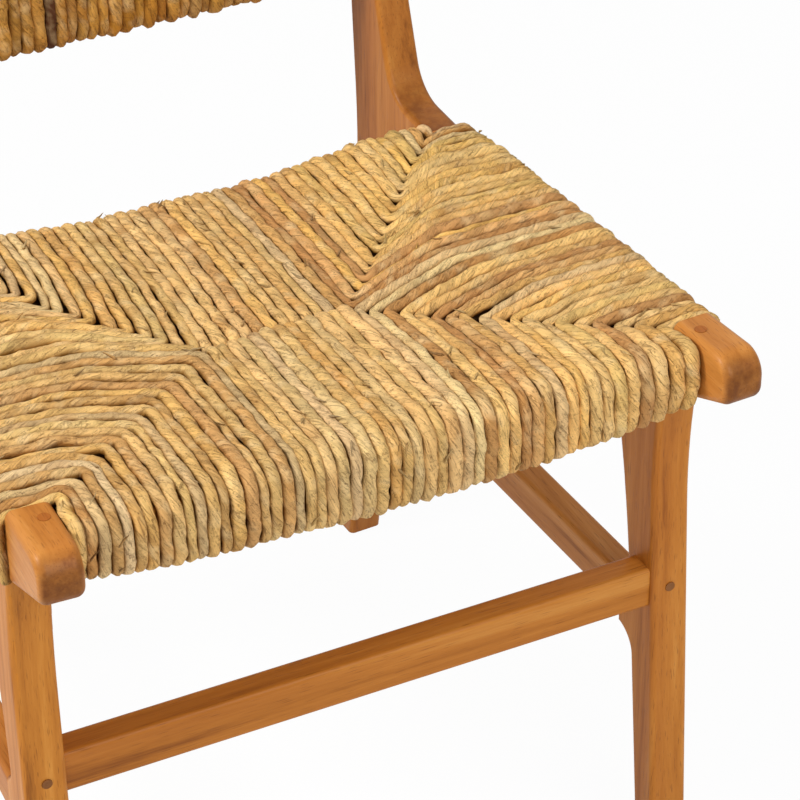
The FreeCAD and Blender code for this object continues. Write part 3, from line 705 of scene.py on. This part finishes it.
@dataclass
class SeatWeave:
    """The woven seat: strands turn at four seams, and meet at a bridge in the middle."""

    front: RailRope = RailRope(way=-1, edge=-0.2348, end=-0.203, seam=-0.201, turns=19, count=51,
                               bend=0.02, thin=1.0, near=0.003, beyond=0.008, crest=0.0016)
    rear: RailRope = RailRope(way=1, edge=0.1145, end=0.118, seam=0.1065, turns=19, count=50,
                              bend=0.014, thin=0.95, near=0.006, beyond=0.004, crest=-0.001)
    toe: float = math.tan(math.radians(2.65))
    half_span: float = 0.2185
    rail_width: float = 0.0295
    rope: float = 0.0045
    top_front: float = 0.4545
    top_fall: float = 0.0464
    under: float = 0.401
    rear_low: float = 0.3955
    hump: float = 0.0095
    hump_place: float = 0.155
    hump_width: float = 0.05
    dip: float = 0.0035
    roll_low: float = 0.4018
    roll_lift: float = 0.0028
    roll_bow: float = 0.017
    side_under: float = 0.401
    side_fall: float = 0.0222
    side_start: float = -0.195
    hidden: float = 0.409
    tuck: float = 0.012
    core_low: Point = (-0.187, -0.19, 0.428)
    core_high: Point = (0.187, 0.075, 0.428)
    apex_left: Pair = (-0.062, -0.086)
    apex_right: Pair = (0.042, -0.081)
    leg_end: float = -0.126
    step: float = 0.0026
    uneven: float = 0.2
    stout: float = 1.28
    stout_count: int = 7
    side_thin: float = 0.94
    end_bend: float = 0.005
    low_bend: float = 0.012
    browned: float = 0.9
    browned_count: int = 6
    # Painted light: the strands of both right corners get brighter tones.
    right_painted_light: float = 1.08
    # Painted shade: where the painted groove shade begins on the strands of the left and of the right
    # corners; the left's grooves are painted darker.
    left_painted_shade_edge: float = 0.08
    right_painted_shade_edge: float = -0.35
    corner_frays: int = 26
    middle_frays: int = 20
    # Painted shade: the packing's dark tone stands for the shade inside the seat.
    packing_with_painted_shade: Colour = linear(92, 60, 34)
    widths: dict[RailRope, np.ndarray] = field(init=False)
    side_widths: dict[int, np.ndarray] = field(init=False)

    def __post_init__(self) -> None:
        """Draws the uneven widths of the strands on each rail, stoutest at the right end of the front."""
        random = np.random.default_rng(17)
        low, high = 1 - self.uneven, 1 + self.uneven
        self.widths = {rail: random.uniform(low, high, rail.count) for rail in (self.front, self.rear)}
        self.widths[self.front][-self.stout_count:] *= self.stout
        self.widths[self.front] /= self.widths[self.front].mean()
        along = self.front.turns + self.rear.turns
        self.side_widths = {side: random.uniform(low, high, along) for side in (-1, 1)}

    def inner(self, y: float) -> float:
        """X of the inner face of the right rail at a Y."""
        return self.half_span - y * self.toe - self.rail_width / 2

    def outer(self, y: float) -> float:
        """X of a strand's middle on the outer face of the right rail at a Y."""
        return self.inner(y) + self.rail_width + self.rope

    def top(self, x: float, y: float) -> float:
        """Height of a strand's middle on top, which dips in the middle at the back and humps beside it."""
        share = max(0.0, min(1.0, (y + 0.1) / 0.2))
        hump = self.hump * math.exp(-((abs(x) - self.hump_place) / self.hump_width) ** 2)
        return self.top_front - (y - self.front.end) * self.top_fall + share * (hump - self.dip)

    def front_low(self, x: float) -> float:
        """Height of a strand's middle below the front rail, which bows down in the middle."""
        lift = self.roll_lift * max(0.0, min(1.0, -x / 0.09))
        return self.roll_low + lift + self.roll_bow * (abs(x) / 0.207) ** 3.5

    @staticmethod
    def middles(widths: np.ndarray) -> np.ndarray:
        """Places of strands side by side, as shares of the whole run."""
        return (np.cumsum(widths) - widths / 2) / widths.sum()

    def outward(self, path: np.ndarray) -> np.ndarray:
        """The ways that face out of the seat, for each point of a strand."""
        return path - np.clip(path, self.core_low, self.core_high)

    def turn(self, side: int, rail: RailRope, order: int) -> tuple[Pair, Pair, Pair]:
        """The seam point of one strand, where it crosses its two rails, and its widths there.

        Args:
            side: -1 for left, 1 for right.
            rail: the front or the back rail.
            order: place of the strand, counted from the corner.

        Returns:
            The seam point, then X at that rail with Y at the side rail, then both widths.
        """
        widths = self.widths[rail][::-side]
        beside = self.side_widths[side][::-rail.way]
        share = self.middles(widths[:rail.turns])[order]
        apex = self.apex_right if side > 0 else (-self.apex_left[0], self.apex_left[1])
        corner = self.inner(rail.seam) - 0.002
        seam = (corner + (apex[0] - corner) * share, rail.seam + (apex[1] - rail.seam) * share)
        width = self.inner(rail.edge) * 2 - 0.001
        x = width / 2 - width * self.middles(widths)[order]
        y = rail.end - rail.way * (self.rear.end - self.front.end) * self.middles(beside)[order]
        return seam, (x, y), (rail.thin * widths[order], self.side_thin * beside[order])

    def corner_path(self, side: int, rail: RailRope, order: int, style: SeamStyle,
                    random: np.random.Generator) -> tuple[np.ndarray, np.ndarray]:
        """The way of one strand over both rails of a corner.

        Args:
            side: -1 for left, 1 for right.
            rail: the front or the back rail.
            order: place of the strand, counted from the corner.
            style: how it turns at the seam.
            random: the source of its small differences.

        Returns:
            The points of its middle line, and its thickness at each.
        """
        (seam_x, seam_y), (x, y), (first, second) = self.turn(side, rail, order)
        seam_x, seam_y = seam_x + random.normal(0.0, 0.0008), seam_y + random.normal(0.0, 0.0008)
        edge = rail.edge
        low = self.front_low(side * x) if rail is self.front else self.rear_low
        outer = self.outer(y)
        side_low = self.side_under - (y - self.side_start) * self.side_fall - self.rope
        tight = style is SeamStyle.TIGHT
        dip = random.uniform(0.0012, 0.004) if tight else random.uniform(-0.0008, 0.0022)
        bend_x, bend_y = seam_x + 0.8 * (x - seam_x), seam_y + 0.8 * (y - seam_y)
        far_y, far_x = seam_y + 0.45 * (edge - seam_y), seam_x + 0.4 * (outer - seam_x)
        crest, ridge = 0.0008 + random.normal(0.0, 0.0006), random.normal(0.0, 0.001)
        seam_z = self.top(side * seam_x, seam_y) - dip
        tail = (seam_x - 0.004, seam_y, self.under + self.tuck)
        below = (seam_x, seam_y, self.under)
        corners = [
            tail,
            below,
            (x, edge, low),
            (x, edge, self.top(side * x, edge) + crest),
            (bend_x, far_y, self.top(side * bend_x, far_y) + crest),
            (seam_x, seam_y, seam_z),
            (far_x, bend_y, self.top(side * far_x, bend_y) + ridge),
            (outer, y, self.top(side * outer, y) + 0.4 * ridge),
        ]
        bend = random.uniform(0.0034, 0.005) if tight else random.uniform(0.006, 0.0095)
        radii = [0.0, self.end_bend, self.low_bend, rail.bend, 0.05, bend, 0.05, self.low_bend]
        if rail is self.front and y < self.leg_end:
            corners.append((outer - 0.003, y, side_low + 0.009))
            radii.append(0.0)
        else:
            corners += [(outer, y, side_low), below, tail]
            radii += [0.009, self.end_bend, 0.0]
        path = rounded([(side * a, b, c) for a, b, c in corners], radii, self.step, self.hidden)
        apart = np.linalg.norm(path - np.array((side * seam_x, seam_y, seam_z)), axis=1)
        beyond = np.where(np.arange(len(path)) > int(np.argmin(apart)), apart, -apart)
        share = np.clip(0.5 + beyond / 0.03, 0.0, 1.0)
        pinch = 1 - (0.16 if tight else 0.05) * np.exp(-(apart / 0.008) ** 2)
        return path, (first * (1 - share) + second * share) * pinch

    def middle_path(self, rail: RailRope, order: int) -> tuple[np.ndarray, float]:
        """The way of one strand from the bridge over the front or back rail.

        Args:
            rail: the rail.
            order: place of the strand from the left.

        Returns:
            The points of its middle line, and its thickness.
        """
        widths = self.widths[rail]
        edge = rail.edge
        width = self.inner(edge) * 2 - 0.001
        x = width * (self.middles(widths)[rail.turns + order] - 0.5)
        share = self.middles(widths[rail.turns:-rail.turns])[order]
        start = self.apex_left[0] + (self.apex_right[0] - self.apex_left[0]) * share
        bridge = self.apex_left[1] + (self.apex_right[1] - self.apex_left[1]) * share
        low = self.front_low(x) if rail is self.front else self.rear_low
        near = bridge + rail.way * rail.near
        beyond = bridge - rail.way * rail.beyond
        here = near + rail.way * 0.012
        middle = here + 0.5 * (edge - here)
        bend = start + 0.8 * (x - start)
        corners = [
            (start, beyond, self.top(start, bridge) - self.tuck),
            (start, near, self.top(start, near) + rail.crest),
            (start, here, self.top(start, here) + rail.crest * 0.5),
            (bend, middle, self.top(bend, middle)),
            (x, edge, self.top(x, edge) + 0.0008),
            (x, edge, low),
            (start, near, self.under),
            (start, beyond, self.under + self.tuck),
        ]
        radii = [0.0, 0.006, 0.02, 0.06, rail.bend, self.low_bend, self.end_bend, 0.0]
        path = rounded(corners, radii, self.step, self.hidden)
        return path, float(widths[rail.turns + order]) * rail.thin

    def packing(self, material: bpy.types.Material) -> bpy.types.Object:
        """The scraps of leaf packed between the upper and the lower strands, in a dark tone that paints the
        shade inside the seat.

        Args:
            material: the rope's material.

        Returns:
            The piece.
        """
        random = np.random.default_rng(5)
        rows, columns = 26, 30
        ways = np.linspace(-0.2, 0.084, rows)
        points = []
        for sign in (1, -1):
            for y in ways:
                reach = self.inner(y) - 0.001
                for x in np.linspace(-reach, reach, columns):
                    rough = random.normal(0.0, 0.0008)
                    height = self.top(x, y) - 0.0095 if sign > 0 else self.under + 0.0075
                    points.append((x, y, height + rough))
        total = rows * columns
        faces = []
        for row in range(rows - 1):
            for column in range(columns - 1):
                corner = row * columns + column
                above = (corner, corner + 1, corner + columns + 1, corner + columns)
                faces.append(above)
                faces.append(tuple(total + point for point in reversed(above)))
        rim = list(range(columns)) + [row * columns + columns - 1 for row in range(1, rows)]
        rim += [total - 1 - column for column in range(1, columns)]
        rim += [row * columns for row in range(rows - 2, 0, -1)]
        for here, after in zip(rim, rim[1:] + rim[:1]):
            faces.append((after, here, total + here, total + after))
        points = np.array(points)
        tone = np.tile(self.packing_with_painted_shade, (len(points), 1))
        return leaf_object("seat_packing", points, faces, points * 1000, tone, material)

    def build(self, material: bpy.types.Material) -> list[bpy.types.Object]:
        """Makes the ropes of the seat and puts them in the place of the plain panels.

        Args:
            material: the rope's material.

        Returns:
            The pieces.
        """
        pieces = []
        corners = (("seat_rope_front_right", 1, self.front, SeamStyle.TIGHT, "seat_weave_right"),
                   ("seat_rope_front_left", -1, self.front, SeamStyle.ROUND, "seat_weave_left"),
                   ("seat_rope_back_right", 1, self.rear, SeamStyle.TIGHT, "seat_weave_right"),
                   ("seat_rope_back_left", -1, self.rear, SeamStyle.TIGHT, "seat_weave_left"))
        for seed, (name, side, rail, style, node) in enumerate(corners):
            # Painted shade: each corner's strands get the painted groove shade of their side.
            painted_groove_shade = self.left_painted_shade_edge if side < 0 else self.right_painted_shade_edge
            # Painted light: the right corners' strands are made brighter.
            right_painted_light = 1.0 if side < 0 else self.right_painted_light
            mesh = RopeMesh(name, np.random.default_rng(40 + seed), painted_shade_edge=painted_groove_shade)
            for order in range(rail.turns):
                path, swell = self.corner_path(side, rail, order, style, mesh.random)
                aged = rail is self.front and (side < 0 or order < self.browned_count)
                browned = self.browned if aged else 0.1
                tone = mesh.tones.pick(mesh.random, browned) * right_painted_light * (1 - 0.1 * browned)
                mesh.strand(path, self.outward(path), tone, swell)
            mesh.fray(self.corner_frays)
            pieces.append(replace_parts(mesh.piece(material), node))
        middles = (("seat_rope_front_middle", self.front, "seat_weave_front"),
                   ("seat_rope_back_middle", self.rear, "seat_weave_back"))
        for seed, (name, rail, node) in enumerate(middles):
            mesh = RopeMesh(name, np.random.default_rng(60 + seed))
            for order in range(rail.count - 2 * rail.turns):
                path, swell = self.middle_path(rail, order)
                mesh.strand(path, self.outward(path), mesh.tones.pick(mesh.random), swell)
            mesh.fray(self.middle_frays)
            pieces.append(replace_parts(mesh.piece(material), node))
        return pieces + [self.packing(material)]


@dataclass
class BackWeave:
    """The woven back: upright strands round two bars between the posts."""

    half_width: float = 0.1922
    count: int = 46
    low_y: float = 0.2217
    low_z: float = 0.539
    high_y: float = 0.2453
    high_z: float = 0.775
    half_depth: float = 0.0135
    half_height: float = 0.0195
    bend: float = 0.012
    end_bend: float = 0.006
    widths: Pair = (0.78, 1.25)
    swell: float = 1.04
    frays: int = 40
    dark_strand: int = 17
    dark_tone: Colour = linear(92, 54, 30)
    step: float = 0.0028
    # Painted shade: the back's leaf tones are darker than the seat's, for the shade on the back.
    tones: LeafTones = LeafTones(
        (linear(199, 143, 63), linear(189, 128, 47), linear(201, 154, 86),
         linear(185, 131, 59), linear(158, 98, 38), linear(209, 168, 103)),
        brown=linear(148, 90, 34), pale=linear(207, 166, 100))

    def path(self, x: float, joint: float) -> np.ndarray:
        """The way of one strand round both bars.

        Args:
            x: where it crosses them.
            joint: how far up, from the lower bar to the upper one, its ends meet at the rear.

        Returns:
            The points of its middle line.
        """
        middle_y = self.low_y + (self.high_y - self.low_y) * joint
        middle_z = self.low_z + (self.high_z - self.low_z) * joint
        corners = [
            (x, middle_y, middle_z + 0.01),
            (x, middle_y + self.half_depth, middle_z),
            (x, self.low_y + self.half_depth, self.low_z - self.half_height),
            (x, self.low_y - self.half_depth, self.low_z - self.half_height),
            (x, self.high_y - self.half_depth, self.high_z + self.half_height),
            (x, self.high_y + self.half_depth, self.high_z + self.half_height),
            (x, middle_y + self.half_depth, middle_z + 0.004),
            (x, middle_y, middle_z - 0.006),
        ]
        radii = [0.0, self.end_bend, *[self.bend] * 4, self.end_bend, 0.0]
        return rounded(corners, radii, self.step)

    def outward(self, path: np.ndarray) -> np.ndarray:
        """The ways that face out of the back along a strand.

        Args:
            path: the strand's points.

        Returns:
            A direction for each point.
        """
        height = np.clip(path[:, 2], self.low_z, self.high_z)
        slope = (self.high_y - self.low_y) / (self.high_z - self.low_z)
        core = np.stack([path[:, 0], self.low_y + (height - self.low_z) * slope, height], axis=1)
        return path - core

    def build(self, material: bpy.types.Material) -> list[bpy.types.Object]:
        """Makes the ropes of the back and puts them in the place of the plain panel.

        Args:
            material: the rope's material.

        Returns:
            The pieces.
        """
        mesh = RopeMesh("back_rope", np.random.default_rng(81), self.tones)
        widths = mesh.random.uniform(*self.widths, self.count)
        for order, place in enumerate(SeatWeave.middles(widths)):
            path = self.path(self.half_width * (2 * place - 1), mesh.random.uniform(0.2, 0.8))
            tone = mesh.tones.pick(mesh.random, 0.4)
            if order == self.dark_strand:
                tone = np.array(self.dark_tone)
            mesh.strand(path, self.outward(path), tone, self.swell * widths[order])
        mesh.fray(self.frays)
        return [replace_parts(mesh.piece(material), "back_weave")]


@dataclass
class WoodFrame:
    """The wooden frame, whose pieces keep their CAD shapes and get their finish here."""

    finishes: tuple[tuple[WoodFinish, tuple[str, ...]], ...] = (
        (WoodFinish("frame wood upright", GrainAxis.UPRIGHT), ("front_leg_left", "front_leg_right")),
        # Painted shade: the rear posts' palette is a darker copy of the legs'.
        (WoodFinish("frame wood post", GrainAxis.UPRIGHT, linear(130, 74, 22), linear(166, 101, 37),
                    linear(178, 113, 45), linear(195, 133, 62)),
         ("rear_post_left", "rear_post_right")),
        # Painted sheen: this palette is bluer than the others, a varnish haze painted into the wood's colour.
        (WoodFinish("frame wood deep", GrainAxis.DEEP, linear(138, 81, 28), linear(178, 114, 47),
                    linear(191, 127, 58), linear(208, 149, 80), end=linear(96, 49, 14)),
         ("side_rail_left", "side_rail_right", "side_stretcher_left", "side_stretcher_right")),
        (WoodFinish("frame wood across", GrainAxis.ACROSS, linear(132, 75, 21), linear(171, 105, 35),
                    linear(185, 117, 43), linear(203, 139, 62)),
         ("front_stretcher", "rear_stretcher", "front_seat_rail", "back_seat_rail", "back_lower_rail",
          "back_upper_rail")),
        (WoodFinish("peg wood", GrainAxis.DEEP, linear(104, 64, 30), linear(130, 82, 40),
                    linear(142, 92, 46), linear(154, 104, 54), end=linear(124, 78, 38)),
         ("stretcher_pegs",)),
        (WoodFinish("plug wood", GrainAxis.DEEP, linear(122, 66, 20), linear(156, 90, 32),
                    linear(168, 100, 38), linear(184, 116, 50)),
         ("rail_pegs",)))

    def dress(self, nodes: dict[str, bpy.types.Object]) -> None:
        """Gives each wooden piece its finish.

        Args:
            nodes: the CAD pieces by name.
        """
        grain = WoodGrain()
        for finish, names in self.finishes:
            material = finish.material(grain)
            for name in names:
                item = nodes[name]
                item.data.materials.clear()
                item.data.materials.append(material)
                LOG.info("%s: %s", name, finish.name)


@dataclass(frozen=True)
class Lamp:
    """One soft square lamp."""

    name: str
    place: Point
    aim: Point
    size: float
    power: float

    def build(self) -> None:
        """Puts the lamp in its place, turned to what it lights."""
        light = bpy.data.lights.new(self.name, "AREA")
        light.size = self.size
        light.energy = self.power
        item = linked(self.name, light)
        item.location = self.place
        item.rotation_euler = (Vector(self.aim) - Vector(self.place)).to_track_quat("-Z", "Y").to_euler()


@dataclass
class Studio:
    """A pale floor, soft lamps and the camera."""

    eye: Point = (-0.74293, -1.7255, 1.63497)
    azimuth: float = -26.5515
    elevation: float = 34.6358
    lens: float = 150.74
    surround: float = 0.48
    floor_reach: float = 12.0
    floor_glow: float = 0.96
    lamps: tuple[Lamp, ...] = (
        Lamp("key", (-1.85, 0.15, 2.15), (0.0, 0.0, 0.42), 0.7, 55.0),
        Lamp("front", (0.3, -1.6, 1.5), (0.05, -0.1, 0.35), 1.0, 18.0))

    def seen(self, sheet: Shading) -> bpy.types.NodeSocket:
        """One for rays that see the surroundings, and none for rays that they light the chair by.

        Args:
            sheet: the nodes to add to.

        Returns:
            The value's socket.
        """
        path = sheet.add("ShaderNodeLightPath").outputs
        direct = sheet.maths("MAXIMUM", path["Is Camera Ray"], path["Is Glossy Ray"])
        return sheet.maths("MAXIMUM", direct, path["Is Transmission Ray"])

    def floor(self) -> None:
        """A wide pale floor that looks white and keeps the chair's shadow."""
        mesh = bpy.data.meshes.new("floor")
        reach = self.floor_reach
        corners = [(-reach, -reach, 0), (reach, -reach, 0), (reach, reach, 0), (-reach, reach, 0)]
        mesh.from_pydata(corners, [], [(0, 1, 2, 3)])
        item = linked("floor", mesh)
        material, sheet, shader = new_material("pale floor")
        sheet.feed(shader, {"Base Color": (0.8, 0.8, 0.8, 1.0), "Roughness": 0.9})
        share = sheet.maths("MULTIPLY", self.seen(sheet), self.floor_glow)
        glow = sheet.add("ShaderNodeEmission", {"Strength": 1.0})
        mix = sheet.add("ShaderNodeMixShader", {0: share, 1: shader.outputs[0], 2: glow.outputs[0]})
        sheet.feed(material.node_tree.nodes["Material Output"], {"Surface": mix.outputs[0]})
        mesh.materials.append(material)

    def sky(self) -> None:
        """White surroundings: plain for the camera, softer for the light they give."""
        world = bpy.data.worlds.new("studio")
        bpy.context.scene.world = world
        world.use_nodes = True
        sheet = Shading(world.node_tree)
        strength = sheet.span(self.seen(sheet), 0.0, 1.0, self.surround, 1.0)
        white = {"Color": (1.0, 1.0, 1.0, 1.0), "Strength": strength}
        sheet.feed(world.node_tree.nodes["Background"], white)

    def camera(self) -> None:
        """The camera at the photograph's place."""
        lens = bpy.data.cameras.new("camera")
        lens.lens = self.lens
        lens.sensor_width = 36.0
        lens.clip_end = 60.0
        item = linked("camera", lens)
        item.location = self.eye
        item.rotation_euler = (math.radians(90 - self.elevation), 0.0, math.radians(self.azimuth))
        bpy.context.scene.camera = item

    def build(self) -> None:
        """Sets up the whole studio."""
        self.camera()
        self.floor()
        self.sky()
        for lamp in self.lamps:
            lamp.build()
        bpy.context.scene.view_settings.view_transform = "Standard"


def main() -> None:
    """Builds and dresses the chair, and sets up the studio."""
    logging.basicConfig(level=logging.INFO, format="%(name)s %(message)s")
    Studio().build()
    WoodFrame().dress(frame["nodes"])
    rope = RopeFinish().material()
    for piece in SeatWeave().build(rope) + BackWeave().build(rope):
        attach(piece, "root")


if __name__ == "__main__":
    main()
